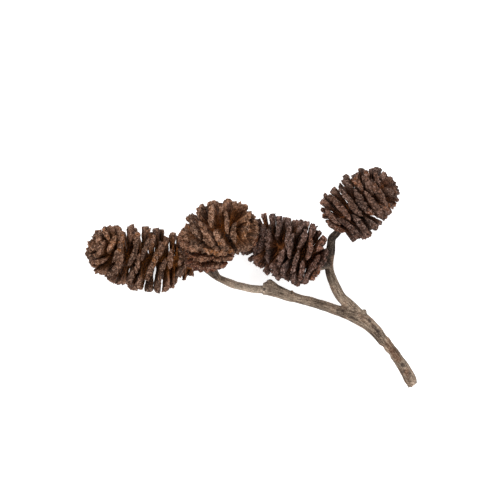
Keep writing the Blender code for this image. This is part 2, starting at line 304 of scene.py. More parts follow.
def frames_along(path):
    """For each point of the path its place, its tangent and two normals that don't twist."""
    places = [Vector(p[:3]) for p in path]
    frames = []
    normal = None
    for k, place in enumerate(places):
        tangent = (places[min(k + 1, len(places) - 1)] - places[max(k - 1, 0)]).normalized()
        if normal is None:
            normal = tangent.orthogonal()
        normal = (normal - tangent * normal.dot(tangent)).normalized()
        frames.append((place, tangent, normal, tangent.cross(normal)))
    return frames


@dataclass
class Scale:
    """One scale's place and size: it grows from root along out, and side is its width's direction."""

    root: np.ndarray
    out: np.ndarray
    side: np.ndarray
    up: np.ndarray
    length: float
    width: float
    thickness: float
    bow: float
    cup: float
    # Where it grows, from the cone's base at 0 to its tip at 1.
    share: float

    def half_width(self, t):
        """Half its width at the share t of its length."""
        return 0.5 * self.width * np.interp(t, OPENS_AT, OPENS_TO)

    def half_thickness(self, t):
        """Half its thickness at the share t of its length."""
        return 0.5 * np.maximum(LEAST_THICKNESS, self.thickness * np.interp(t, THICKENS_AT, THICKENS_TO))

    def point(self, t, across, lift):
        """The place at the share t of its length, across from -1 to 1 and lift metres up."""
        rise = self.length * t * (self.bow * t + self.cup * across**2) + lift
        return (
            self.root
            + np.multiply.outer(t * self.length, self.out)
            + np.multiply.outer(across * self.half_width(t), self.side)
            + np.multiply.outer(rise, self.up)
        )


def axis_of(cone):
    """The cone's centreline as closely spaced frames."""
    return frames_along(smooth_path(placed(cone.axis), AXIS_STEP))


def lean_of(cone, t):
    """How far a scale at t leans towards the tip, in degrees."""
    if t < cone.shoulder:
        return float(np.interp(t, (0, cone.shoulder), (cone.base_lean_deg, LEAN_DEG[0])))
    return float(np.interp((t - cone.shoulder) / (1 - cone.shoulder), LEAN_AT, LEAN_DEG))


def reach_of(cone, t):
    """How far a scale at t reaches, in metres."""
    if t < cone.shoulder:
        share = np.interp(t, (0, cone.shoulder), (cone.base_reach, 1))
    else:
        share = np.interp((t - cone.shoulder) / (1 - cone.shoulder), REACH_AT, REACH_SHARE)
    return cone.reach * MM * float(share)


def scale_at(cone, k, frames, draw):
    """The k-th scale from the base, wound round the axis by the golden angle, before it is fitted in."""
    t = (k + 0.5) / cone.scales
    along = t - CROWDING * math.sin(2 * math.pi * t)
    first = FIRST_ROOT / AXIS_STEP
    place, tangent, across, up = frames[round(first + along * (len(frames) - 1 - first))]
    stray = math.radians(draw.uniform(-TURN_STRAY, TURN_STRAY))
    turn = math.radians(cone.first_turn_deg) + k * GOLDEN_ANGLE + stray
    lean = math.radians(lean_of(cone, t) + draw.uniform(-LEAN_STRAY, LEAN_STRAY))
    slant = math.radians(cone.slant_deg + draw.uniform(-SLANT_STRAY, SLANT_STRAY))
    radial = across * math.cos(turn) + up * math.sin(turn)
    out = radial * math.cos(lean) + tangent * math.sin(lean)
    side = Matrix.Rotation(slant, 3, out) @ tangent.cross(radial)
    return Scale(
        root=np.array(place),
        out=np.array(out),
        side=np.array(side),
        up=np.array(out.cross(side)),
        length=reach_of(cone, t) * draw.uniform(*LENGTH_STRAY),
        width=SCALE_WIDTH * float(np.interp(t, WIDTH_AT, WIDTH_SHARE)) * draw.uniform(*WIDTH_STRAY),
        thickness=SCALE_THICKNESS * draw.uniform(*THICKNESS_STRAY),
        bow=draw.uniform(*BOW),
        cup=draw.uniform(*CUP),
        share=t,
    )


def scale_places(cone, stems):
    """The cone's scales from base to tip, without those that find no room."""
    draw = random.Random(cone.seed)
    frames = axis_of(cone)
    found = []
    for k in range(cone.scales):
        scale = scale_at(cone, k, frames, draw)
        if fit_in(scale, cone, stems) and lip_is_free(scale, found, cone.lip_spacing * MM):
            found.append(scale)
    return found


# Where a scale is tested for room: along its length, across it, and on its lower face, middle and upper face.
TESTS = np.meshgrid(np.linspace(0.28, 1.0, 10), np.linspace(-1, 1, 9), (-1.0, 0.0, 1.0))
TEST_T, TEST_ACROSS, TEST_LEVEL = (grid.ravel() for grid in TESTS)


def has_room(scale, cone, stems):
    """Whether the scale keeps clear of its cone's limits and of the twig."""
    places = scale.point(TEST_T, TEST_ACROSS, TEST_LEVEL * scale.half_thickness(TEST_T))
    for point, normal in cone.limits:
        away = np.array(normal) / np.linalg.norm(normal)
        if ((places - placed(point)) @ away).min() < PLANE_GAP:
            return False
    centres, radii = stems
    return (np.linalg.norm(places[:, None] - centres, axis=2) - radii).min() > GAP


def fit_in(scale, cone, stems):
    """Shortens a scale until it has room, and says whether it found any."""
    least = scale.length * SHORTEST
    while not has_room(scale, cone, stems):
        scale.length *= SHORTER
        scale.width *= NARROWER
        if scale.length < least:
            return False
    return True


def lip_is_free(scale, others, spacing):
    """Whether the scale's lip stands clear of the lips of those already placed."""
    lip = scale.point(LIP_AT, 0.0, 0.0)
    return all(np.linalg.norm(lip - other.point(LIP_AT, 0.0, 0.0)) > spacing for other in others)


def into_cone(stem, cone):
    """The stem led square up to the base of the cone's core, a gap short of it."""
    place, tangent, _, _ = axis_of(cone)[0]
    ends = [place - tangent * (GAP + STALK_RUN), place - tangent * GAP]
    return np.array([*placed(stem), *[(*end, STALK_END_RADIUS) for end in ends]])


def stem_points():
    """Every stretch of the twig as points of x, y, z and radius, in metres."""
    left, curled, middle, right = CONES
    return [
        placed(MAIN_STEM),
        into_cone(THIN_STEM, left),
        into_cone(FORK_STEM, right),
        into_cone(CURLED_STALK, curled),
        into_cone(MIDDLE_STALK, middle),
        *[placed(knob) for knob in KNOBS],
    ]


def stem_balls(stretches):
    """The room that the twig takes, as the centres and radii of balls along it."""
    rows = np.concatenate([smooth_path(stretch, BALL_STEP) for stretch in stretches])
    return rows[:, :3], rows[:, 3]


def smoothstep(low, high, x):
    """0 below low, 1 above high, and an even curve between them."""
    t = np.clip((x - low) / (high - low), 0.0, 1.0)
    return t * t * (3 - 2 * t)


# Without this the vector noise would be another one on each run.
NOISE_SEED = 34
noise.seed_set(NOISE_SEED)
# What a seed of one piece's own moves its noise by, so that no two look the same.
SEED_SHIFT = (17.31, 5.77, 11.93)


def noise_at(points, size, seed):
    """Three smooth noises from about -1 to 1 at each point, for bumps of about this size."""
    shifted = points / size + seed * np.array(SEED_SHIFT)
    return np.array([noise.noise_vector(row) for row in shifted.tolist()])


# A fine scale is a box cut into a grid, bent to shape: along its length, across it and through it.
ALONG_STEPS = 14
ACROSS_STEPS = 26
THROUGH_STEPS = 4
# The stations along a scale stand closer together towards its lip by this power.
TOWARDS_LIP = 1.6

# The lip's outline: across, and how far it reaches as a share of the scale's length.
LIP_ACROSS = (-1.0, -0.62, -0.30, 0.0, 0.30, 0.62, 1.0)
LIP_REACH = (0.88, 1.01, 0.955, 1.035, 0.955, 1.01, 0.88)
# A fine scale's middle is thicker than the solid's by this factor, and its sides thin towards the lip: how
# much, and how late towards them.
MIDDLE_SWELL = 1.02
SIDE_TAPER = 0.66
TAPER_BEND = 1.8
# How much its long edges are rounded off, through it and across it.
EDGE_ROUND = 0.25
EDGE_TUCK = 0.06
# How far the edges of the lip's end are rounded off, and how deep the furrow is that runs along it.
LIP_ROUND = 0.10 * MM
FURROW = 0.20 * MM
# From where to where along the grid the rounding and the furrow set in.
ROUND_SETS_IN = (0.80, 1.0)
FURROW_SETS_IN = (0.94, 1.0)
# The lip wears unevenly: what the wear leaves of the furrow and adds to it, how much it moves the lip's edge,
# how finely it changes across the scale, and how much less through it.
FURROW_KEPT = 0.6
FURROW_WEAR = 2
REACH_WEAR = 0.045
WEAR_SHARE = 0.3
WEAR_THROUGH = 0.2
# Cracks part the lip into lobes of about this share of its width. They are this deep, as shares of its
# thickness and of the scale's length, this wide, as a share of what lies between them, and change this little
# through the lip.
LOBE_SHARE = 0.42
CRACK_IN = 0.24
CRACK_BACK = 0.05
CRACK_WIDTH = 0.20
CRACK_THROUGH = 0.12
# From where to where along a scale the cracks set in, the creases of the blade give way to those of the lip's
# end, and the relief grows from its share at the foot to its whole.
CRACKS_SET_IN = (0.35, 0.9)
END_SETS_IN = (0.78, 0.94)
RELIEF_SETS_IN = (0.10, 0.45)
FOOT_RELIEF = 0.3
# What is left of the blade's creases on the lip's end, and where along a scale its end begins to bulge.
BLADE_ON_END = 0.3
BULGE_SETS_IN = (0.85, 1.0)
# Lumps, and creases that run across the lip's end and along the blade: how wide, how long and how high.
LUMP_SIZE = 1.3 * MM
LUMP_HEIGHT = 0.13 * MM
CREASE_SIZE = 0.32 * MM
END_STRETCH = 3.4
BLADE_STRETCH = 4.0
END_HEIGHT = 0.32 * MM
BLADE_HEIGHT = 0.26 * MM
# What a crease's height is on average, which the surface is moved back by.
CREASE_MEAN = 0.22

# The fine core, which tapers from this share of its length. Its look is that of a scale's foot.
CORE_SIDES = 20
CORE_STEP = 0.4 * MM
CORE_TAPERS_AT = 0.7
NOSE_AT = (0.4, 0.8, 1.0)
CORE_LOOK = (0.1, 0.0, 0.0)
# Each scale's noise seed is this much above that of the scale before it, and the draws of the scales' colours
# start from the cone's seed and this.
SCALE_SEED_STEP = 0.37
COLOUR_SEED = 1000


def box_grid(along, across, through):
    """The surface of a box cut into steps: its corners' shares along, across and through, and its faces."""
    index = {}

    def corner(i, j, k):
        """The number of the grid's corner, which is a new one when first asked for."""
        return index.setdefault((i, j, k), len(index))

    faces = []
    for i in range(along):
        for j in range(across):
            faces.append([corner(i, j, 0), corner(i + 1, j, 0), corner(i + 1, j + 1, 0), corner(i, j + 1, 0)])
            top = [corner(i, j + 1, through), corner(i + 1, j + 1, through)]
            faces.append([*top, corner(i + 1, j, through), corner(i, j, through)])
        for k in range(through):
            faces.append([corner(i, 0, k), corner(i, 0, k + 1), corner(i + 1, 0, k + 1), corner(i + 1, 0, k)])
            far = [corner(i, across, k), corner(i + 1, across, k)]
            faces.append([*far, corner(i + 1, across, k + 1), corner(i, across, k + 1)])
    for j in range(across):
        for k in range(through):
            faces.append([corner(0, j, k), corner(0, j + 1, k), corner(0, j + 1, k + 1), corner(0, j, k + 1)])
            lip = [corner(along, j, k), corner(along, j, k + 1)]
            faces.append([*lip, corner(along, j + 1, k + 1), corner(along, j + 1, k)])
    shares = np.array(list(index), float) / (along, across, through)
    return shares, np.array(faces)


GRID, GRID_FACES = box_grid(ALONG_STEPS, ACROSS_STEPS, THROUGH_STEPS)


def lip_edge(across):
    """How far the lobed edge of the lip reaches at this place across it."""
    knots = np.array(LIP_ACROSS)
    k = np.clip(np.searchsorted(knots, across) - 1, 0, len(knots) - 2)
    share = smoothstep(0, 1, (across - knots[k]) / (knots[k + 1] - knots[k]))
    reach = np.array(LIP_REACH)
    return reach[k] + (reach[k + 1] - reach[k]) * share


def cracks_at(across, level, seed):
    """How deep the lip is cracked at each place across it, from 0 to 1: narrow valleys, unevenly apart."""
    line = np.stack([across, CRACK_THROUGH * level, 0 * across], axis=1)
    return 1 - smoothstep(0.0, CRACK_WIDTH, np.abs(noise_at(line, LOBE_SHARE, seed)[:, 0]))


def crusted(scale, points, place, seed):
    """The scale's points with lumps and creases, and how high the crust stands at each."""
    t, across, level = place.T
    rows = [across * scale.half_width(t), t * scale.length, level * scale.half_thickness(t)]
    local = np.stack(rows, axis=1)
    lumps = noise_at(points, LUMP_SIZE, seed)
    on_end = noise_at(local / (END_STRETCH, 1, 1), CREASE_SIZE, seed + 20)
    on_blade = noise_at(local / (1, BLADE_STRETCH, 1), CREASE_SIZE, seed + 40)
    end = smoothstep(*END_SETS_IN, t)[:, None]
    creases = (np.abs(on_end) - CREASE_MEAN) * end * END_HEIGHT
    creases += (np.abs(on_blade) - CREASE_MEAN) * (1 - (1 - BLADE_ON_END) * end) * BLADE_HEIGHT
    relief = FOOT_RELIEF + (1 - FOOT_RELIEF) * smoothstep(*RELIEF_SETS_IN, t)[:, None]
    outward = np.stack([across, smoothstep(*BULGE_SETS_IN, t), level], axis=1)
    axes = np.stack([scale.side, scale.out, scale.up])
    moved = points + lumps * LUMP_HEIGHT * relief + (creases * outward * relief) @ axes
    return moved, creases.sum(axis=1) / END_HEIGHT


def fine_scale(scale, seed):
    """The scale's fine surface: its points, and for each how far along it is, how cracked and how raised."""
    along = 1 - (1 - GRID[:, 0]) ** TOWARDS_LIP
    across = 2 * GRID[:, 1] - 1
    level = 2 * GRID[:, 2] - 1
    foot = ROOT_START / scale.length
    cracks = cracks_at(across, level, seed)
    line = np.stack([across, WEAR_THROUGH * level, 0 * across], axis=1)
    wear = noise_at(line, WEAR_SHARE, seed + 7)[:, 0]
    edge = lip_edge(across) + REACH_WEAR * wear - CRACK_BACK * cracks
    t = foot + (edge - foot) * along
    t -= smoothstep(*ROUND_SETS_IN, along) * LIP_ROUND / scale.length * np.abs(level) ** 3
    furrow = (1 - level**2) * (FURROW_KEPT + FURROW_WEAR * wear)
    t -= smoothstep(*FURROW_SETS_IN, along) * FURROW / scale.length * furrow
    thick = scale.half_thickness(t) * MIDDLE_SWELL * (1 - SIDE_TAPER * np.abs(across) ** TAPER_BEND * t)
    thick *= 1 - CRACK_IN * cracks * smoothstep(*CRACKS_SET_IN, t)
    lift = level * thick * (1 - EDGE_ROUND * np.abs(across) ** 6)
    across = across * (1 - EDGE_TUCK * level**2 * np.abs(across) ** 3)
    points = scale.point(t, across, lift)
    points, height = crusted(scale, points, np.stack([t, across, level], axis=1), seed)
    return points, np.stack([t, cracks, height], axis=1)


def tube_mesh(path, sides):
    """A round tube's points and faces, closed at both ends; each row of the path carries its radius."""
    turns = np.linspace(0, 2 * math.pi, sides, endpoint=False)
    rings = []
    for (place, _, across, up), row in zip(frames_along(path), path):
        ring = np.outer(np.cos(turns), np.array(across)) + np.outer(np.sin(turns), np.array(up))
        rings.append(np.array(place) + ring * row[3])
    points = np.concatenate([*rings, path[[0, -1], :3]])
    first_middle = len(path) * sides
    faces = []
    for k in range(sides):
        after = (k + 1) % sides
        faces.append([after, k, first_middle])
        faces.append([first_middle - sides + k, first_middle - sides + after, first_middle + 1])
        for start in range(0, first_middle - sides, sides):
            faces.append([start + k, start + after, start + sides + after, start + sides + k])
    return points, faces


def fine_core(cone, seed):
    """The cone's core and the nose at its tip, as points and faces."""
    path = smooth_path(placed(cone.axis), CORE_STEP)
    along = np.linspace(0, 1, len(path))
    radii = np.interp(along, (CORE_TAPERS_AT, 1), (CORE_RADIUS, CORE_TIP_RADIUS))
    place, tangent, _, _ = axis_of(cone)[-1]
    nose_radii = zip(NOSE_AT, np.interp(NOSE_AT, (0, 1), (CORE_TIP_RADIUS, NOSE_RADIUS)))
    nose = [(*(place + tangent * NOSE_LENGTH * share), radius) for share, radius in nose_radii]
    points, faces = tube_mesh(np.array([*np.column_stack([path, radii]), *nose]), CORE_SIDES)
    return points + noise_at(points, LUMP_SIZE, seed) * LUMP_HEIGHT, faces


def make_piece(name, points, faces, finish, values):
    """A smooth-shaded piece, with named values at each point for its finish."""
    points[:, 2] = np.maximum(points[:, 2], 0.0)
    mesh = bpy.data.meshes.new(name)
    mesh.from_pydata(points.tolist(), [], faces)
    mesh.shade_smooth()
    mesh.materials.append(finish)
    for label, rows in values.items():
        given = mesh.attributes.new(label, "FLOAT_VECTOR", "POINT")
        given.data.foreach_set("vector", np.asarray(rows, dtype=np.float32).ravel())
    piece = bpy.data.objects.new(name, mesh)
    bpy.context.scene.collection.objects.link(piece)
    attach(piece, "root")
    return piece


def make_cone(cone, stems, finish):
    """The cone's core and all its scales as one fine piece."""
    draw = random.Random(cone.seed + COLOUR_SEED)
    points, faces = fine_core(cone, cone.seed)
    parts = [points]
    looks = [np.tile(CORE_LOOK, (len(points), 1))]
    owns = [np.tile((0.5, 0.5, 0.5), (len(points), 1))]
    count = len(points)
    for k, scale in enumerate(scale_places(cone, stems)):
        points, look = fine_scale(scale, cone.seed + SCALE_SEED_STEP * k)
        parts.append(points)
        faces += (GRID_FACES + count).tolist()
        looks.append(look)
        owns.append(np.tile((draw.random(), scale.share, draw.random()), (len(points), 1)))
        count += len(points)
    values = {"look": np.concatenate(looks), "own": np.concatenate(owns)}
    piece = make_piece(cone.name + "_fine", np.concatenate(parts), faces, finish, values)
    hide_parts(cone.name)


# The twig's skin before its bark is shaped: tubes joined by a voxel remesh.
TWIG_SIDES = 40
TWIG_STEP = 0.3 * MM
TWIG_VOXEL = 0.11 * MM
# How far apart the marks are along the centrelines that each point of the skin is measured from.
MARK_STEP = 0.1 * MM
# The bark's ridges run along the stem: they are this many times longer than wide.
GRAIN_STRETCH = 9.0
RIDGE_SIZE = 0.62 * MM
RIDGE_HEIGHT = 0.13 * MM
FIBRE_SIZE = 0.26 * MM
FIBRE_HEIGHT = 0.05 * MM
SWELL_SIZE = 2.2 * MM
SWELL_HEIGHT = 0.16 * MM
# The splinters of the broken end: how wide, how long and how far along the stem they reach.
SPLINTER_SIZE = 0.7 * MM
SPLINTER_LENGTH = 0.7 * MM
SPLINTER_REACH = 0.9 * MM

# The marks' edges are ragged: by bumps of this size and depth. Then how softly marks and bumps fade out.
RAGGED_SIZE = 0.6 * MM
RAGGED_DEPTH = 0.22 * MM
MARK_SOFTNESS = 0.45
BUMP_SOFTNESS = 0.8

# Marks on the bark: x, y, radius, how dark, how rust-brown and how pale, in millimetres and from 0 to 1.
BARK_MARKS = [
    # The thick end: its crack, the dark hollow beside it, and the bud's scar.
    (3.01, -2.38, 0.28, 0.9, 0.0, 0.0),
    (4.27, -2.58, 0.5, 0.45, 0.2, 0.0),
    (8.92, -3.12, 0.24, 1.0, 0.0, 0.0),
    # The fork.
    (19.17, -7.18, 0.75, 0.5, 0.2, 0.0),
    (20.27, -6.88, 0.70, 0.5, 0.2, 0.0),
    (23.97, -8.48, 0.45, 0.5, 0.2, 0.0),
    # The thick stem, down to its broken end.
    (25.72, -9.14, 0.45, 0.8, 0.2, 0.0),
    (26.57, -10.48, 0.55, 0.5, 0.3, 0.0),
    (27.47, -11.48, 0.50, 0.7, 0.2, 0.0),
    (27.87, -12.28, 0.50, 0.6, 0.2, 0.0),
    (29.77, -14.28, 0.60, 0.1, 0.6, 0.0),
    (30.67, -15.78, 0.70, 0.4, 0.9, 0.0),
    (31.37, -16.78, 0.70, 0.2, 0.9, 0.0),
    (31.97, -17.68, 0.70, 0.3, 0.9, 0.0),
    (32.87, -18.88, 0.50, 0.9, 0.1, 0.0),
    (33.17, -20.18, 0.40, 0.8, 0.0, 0.0),
    (34.47, -20.58, 0.35, 0.8, 0.0, 0.0),
    (33.87, -20.58, 0.70, 0.2, 0.9, 0.0),
    (33.97, -21.68, 0.50, 0.3, 0.6, 0.0),
    (35.27, -23.28, 0.70, 0.0, 0.7, 0.9),
    # The thin stem's pale bark, its paler start and its dark end.
    (0.47, -2.58, 2.6, 0.0, 0.0, 0.45),
    (-3.43, -1.78, 2.0, 0.0, 0.0, 0.35),
    (2.47, -2.68, 0.55, 0.0, 0.0, 0.8),
    (-7.73, 1.02, 1.2, 0.7, 0.2, 0.0),
    # The fork's upper branch and the middle cone's stalk, nearly black beside the cones: painted shade where
    # the cones shade them.
    (17.37, 9.12, 2.5, 0.95, 0.0, 0.0),
    (16.87, 6.32, 1.8, 0.95, 0.0, 0.0),
    (16.47, 3.32, 1.1, 0.95, 0.0, 0.0),
    (15.47, 2.92, 1.0, 0.95, 0.0, 0.0),
    (16.27, 1.32, 0.9, 0.8, 0.0, 0.0),
]
# Bumps and notches on the bark: x, y, radius and height in millimetres.
BARK_BUMPS = [
    (29.97, -13.18, 0.5, 0.14),
    (28.57, -14.98, 0.5, -0.25),
    (29.87, -16.78, 0.5, -0.22),
    (10.57, -4.28, 0.5, 0.20),
    (3.95, -0.68, 0.5, 0.15),
    (8.92, -3.12, 0.2, -0.12),
]


def twig_skin(stretches):
    """The whole twig as one evenly meshed closed skin: its points, their normals and its faces."""
    points = []
    faces = []
    for stretch in stretches:
        tube_points, tube_faces = tube_mesh(smooth_path(stretch, TWIG_STEP), TWIG_SIDES)
        faces += [[corner + len(points) for corner in face] for face in tube_faces]
        points += tube_points.tolist()
    mesh = bpy.data.meshes.new("twig_skin")
    mesh.from_pydata(points, [], faces)
    skin = bpy.data.objects.new("twig_skin", mesh)
    bpy.context.scene.collection.objects.link(skin)
    remesh = skin.modifiers.new("Remesh", "REMESH")
    remesh.mode = "VOXEL"
    remesh.voxel_size = TWIG_VOXEL
    even = skin.evaluated_get(bpy.context.evaluated_depsgraph_get()).to_mesh()
    rows = np.array([(*v.co, *v.normal) for v in even.vertices])
    faces = [list(face.vertices) for face in even.polygons]
    bpy.data.objects.remove(skin)
    return rows[:, :3], rows[:, 3:], faces


def grain_marks(stretches):
    """Marks along the stretches' centrelines: places, radii, frames and how far along each is."""
    rows = []
    for stretch in stretches:
        path = smooth_path(stretch, MARK_STEP)
        for k, (place, tangent, across, up) in enumerate(frames_along(path)):
            rows.append((*place, path[k][3], *across, *up, *tangent, k * MARK_STEP))
    return np.array(rows)


def grain_of(points, marks):
    """For each point the nearest mark, and its place beside and along that mark's stem."""
    nearest = []
    for some in np.array_split(points, max(1, len(points) // 3000)):
        away = np.linalg.norm(some[:, None] - marks[:, :3], axis=2) - marks[:, 3]
        nearest.append(away.argmin(axis=1))
    mark = marks[np.concatenate(nearest)]
    offset = points - mark[:, :3]
    sideways = [np.einsum("ij,ij->i", offset, mark[:, k : k + 3]) for k in (4, 7, 10)]
    return mark, np.stack([sideways[0], sideways[1], sideways[2] + mark[:, 13]], axis=1)


def marks_at(points, places, radii, softness):
    """How much each point is within each of the places, seen from above, from 0 to 1."""
    away = np.linalg.norm(points[:, None, :2] - places, axis=2) / radii
    return 1 - smoothstep(1 - softness, 1 + softness, away)


def shape_bark(points, normals, grain):
    """The skin's points with the bark's ridges, fibres, swellings, bumps and notches."""
    stretched = grain * (1, 1, 1 / GRAIN_STRETCH)
    height = noise_at(stretched, RIDGE_SIZE, 3)[:, 0] * RIDGE_HEIGHT
    height += noise_at(stretched, FIBRE_SIZE, 5)[:, 0] * FIBRE_HEIGHT
    height += noise_at(points, SWELL_SIZE, 7)[:, 0] * SWELL_HEIGHT
    rows = np.array(BARK_BUMPS)
    near = marks_at(points, placed_plan(rows), rows[:, 2] * MM, BUMP_SOFTNESS)
    height += near @ (rows[:, 3] * MM)
    return points + normals * height[:, None]


def placed_plan(rows):
    """The places seen from above of rows that start with x and y in millimetres, in metres."""
    return (rows[:, :2] - MIDDLE) * MM


def splinter(points, mark, grain):
    """The broken end's splinters: the main stem's first points are pulled along it, each line its own way."""
    near = (1 - smoothstep(0, SPLINTER_REACH, grain[:, 2])) * (mark[:, 0] > placed(MAIN_STEM)[2, 0])
    pull = noise_at(grain * (1, 1, 0), SPLINTER_SIZE, 9)[:, 0] * SPLINTER_LENGTH * near
    return points + mark[:, 10:13] * pull[:, None]


def make_twig(stretches, finish):
    """The twig as one fine piece with its bark."""
    points, normals, faces = twig_skin(stretches)
    mark, grain = grain_of(points, grain_marks(stretches))
    rows = np.array(BARK_MARKS)
    ragged = points + noise_at(points, RAGGED_SIZE, 13) * RAGGED_DEPTH
    near = marks_at(ragged, placed_plan(rows), rows[:, 2] * MM, MARK_SOFTNESS)
    tint = np.stack([(near * rows[:, k]).max(axis=1) for k in (3, 4, 5)], axis=1)
    points = splinter(shape_bark(points, normals, grain), mark, grain)
    values = {"grain": grain / MM, "tint": tint}
    piece = make_piece("twig_fine", points, faces, finish, values)
    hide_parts("twig")


# How strongly dry scales and dry bark mirror.
DRY_SPECULAR = 0.2


class Finish:
    """A material's node tree, with short calls for the nodes that the finishes here are made of."""

    def __init__(self, name):
        self.material = bpy.data.materials.new(name)
        self.material.use_nodes = True
        self.tree = self.material.node_tree
        self.shader = self.tree.nodes["Principled BSDF"]

    def link(self, source, target):
        """Feeds a socket from another one, or gives it a plain value."""
        if isinstance(source, bpy.types.NodeSocket):
            self.tree.links.new(source, target)
        else:
            target.default_value = source

    def parts_of(self, label):
        """The three values of a named attribute of the mesh."""
        given = self.tree.nodes.new("ShaderNodeAttribute")
        given.attribute_name = label
        split = self.tree.nodes.new("ShaderNodeSeparateXYZ")
        self.link(given.outputs["Vector"], split.inputs["Vector"])
        return split.outputs["X"], split.outputs["Y"], split.outputs["Z"]

    def coordinates(self, label, stretch=(1, 1, 1)):
        """Where the surface is, from a named attribute or, without one, in the object's space."""
        if label:
            given = self.tree.nodes.new("ShaderNodeAttribute")
            given.attribute_name = label
            place = given.outputs["Vector"]
        else:
            place = self.tree.nodes.new("ShaderNodeTexCoord").outputs["Object"]
        mapping = self.tree.nodes.new("ShaderNodeMapping")
        self.link(place, mapping.inputs["Vector"])
        mapping.inputs["Scale"].default_value = stretch
        return mapping.outputs["Vector"]

    def noise(self, place, scale, detail=3.0, roughness=0.55):
        """A noise from 0 to 1, with this many bumps to a unit of the place."""
        texture = self.tree.nodes.new("ShaderNodeTexNoise")
        self.link(place, texture.inputs["Vector"])
        texture.inputs["Scale"].default_value = scale
        texture.inputs["Detail"].default_value = detail
        texture.inputs["Roughness"].default_value = roughness
        return texture.outputs["Fac"]

    def ramp(self, value, stops):
        """A smooth run of colours: each stop is a place from 0 to 1 and a linear colour."""
        made = self.tree.nodes.new("ShaderNodeValToRGB")
        self.link(value, made.inputs["Fac"])
        bands = made.color_ramp.elements
        while len(bands) < len(stops):
            bands.new(0.5)
        for band, (at, colour) in zip(bands, stops):
            band.position = at
            band.color = (*colour, 1)
        return made.outputs["Color"]

    def step(self, value, low, high, to_low=0.0, to_high=1.0):
        """The value carried from the range low to high over to the other range, with an even curve."""
        made = self.tree.nodes.new("ShaderNodeMapRange")
        made.interpolation_type = "SMOOTHSTEP"
        names = ("Value", "From Min", "From Max", "To Min", "To Max")
        for name, number in zip(names, (value, low, high, to_low, to_high)):
            self.link(number, made.inputs[name])
        return made.outputs["Result"]

    def math(self, operation, first, second):
        """One sum of two values."""
        made = self.tree.nodes.new("ShaderNodeMath")
        made.operation = operation
        self.link(first, made.inputs[0])
        self.link(second, made.inputs[1])
        return made.outputs[0]

    def mix(self, share, first, second, blend="MIX"):
        """One colour over another, by a share from 0 to 1."""
        made = self.tree.nodes.new("ShaderNodeMix")
        made.data_type = "RGBA"
        made.blend_type = blend
        self.link(share, made.inputs[0])
        for source, socket in ((first, made.inputs[6]), (second, made.inputs[7])):
            self.link(source if isinstance(source, bpy.types.NodeSocket) else (*source, 1), socket)
        return made.outputs[2]

    def shade(self, colour, light):
        """The colour made darker or lighter by this factor."""
        grey = self.tree.nodes.new("ShaderNodeCombineXYZ")
        for socket in grey.inputs:
            self.link(light, socket)
        return self.mix(1.0, colour, grey.outputs["Vector"], blend="MULTIPLY")

    def bump(self, height, distance, strength, below=None):
        """A bump normal from a height from 0 to 1, this many metres high."""
        made = self.tree.nodes.new("ShaderNodeBump")
        made.inputs["Strength"].default_value = strength
        made.inputs["Distance"].default_value = distance
        self.link(height, made.inputs["Height"])
        if below is not None:
            self.link(below, made.inputs["Normal"])
        return made.outputs["Normal"]

    def done(self, colour, roughness, normal):
        """The material, with its dry surface set."""
        self.link(colour, self.shader.inputs["Base Color"])
        self.link(roughness, self.shader.inputs["Roughness"])
        self.link(normal, self.shader.inputs["Normal"])
        self.shader.inputs["Specular IOR Level"].default_value = DRY_SPECULAR
        return self.material


@dataclass
class Tints:
    """A cone's colours, linear: its scales' feet, blades and crusted lips, and the crust's flecks."""

    foot: tuple
    blade: tuple
    crust: tuple
    fleck: tuple
    # How strongly the scales at the base and at the tip are stained, and with what.
    base: tuple = (0.0, 0.0, 0.0)
    base_share: float = 0.0
    tip: tuple = (0.0, 0.0, 0.0)
    tip_share: float = 0.0


CONE_TINTS = {
    "cone_left": Tints(
        foot=(0.240, 0.079, 0.013),
        blade=(0.092, 0.033, 0.009),
        crust=(0.122, 0.058, 0.034),
        fleck=(0.400, 0.255, 0.185),
        tip=(0.190, 0.080, 0.030),
        tip_share=0.3,
    ),
    "cone_curled": Tints(
        foot=(0.280, 0.092, 0.015),
        blade=(0.115, 0.041, 0.013),
        crust=(0.148, 0.071, 0.039),
        fleck=(0.400, 0.255, 0.185),
        base=(0.118, 0.028, 0.009),
        base_share=0.95,
        tip=(0.230, 0.095, 0.032),
        tip_share=0.4,
    ),
    "cone_middle": Tints(
        foot=(0.200, 0.063, 0.014),
        blade=(0.078, 0.030, 0.013),
        crust=(0.097, 0.050, 0.036),
        fleck=(0.310, 0.215, 0.190),
        base=(0.130, 0.038, 0.014),
        base_share=0.5,
    ),
    "cone_right": Tints(
        foot=(0.175, 0.056, 0.015),
        blade=(0.070, 0.026, 0.012),
        crust=(0.091, 0.046, 0.029),
        fleck=(0.320, 0.215, 0.180),
        base=(0.120, 0.038, 0.018),
        base_share=0.4,
    ),
}


# The noises that the scales' colours are broken up by, as bumps to the metre, from broad to fine.
SCALE_PATCHES = 420
SCALE_MOTTLE = 1300
SCALE_SPECKS = 4200
SCALE_GRIT = 8000
# How high the specks and the grit stand in the bump normal.
SPECK_HEIGHT = 0.14 * MM
GRIT_HEIGHT = 0.04 * MM


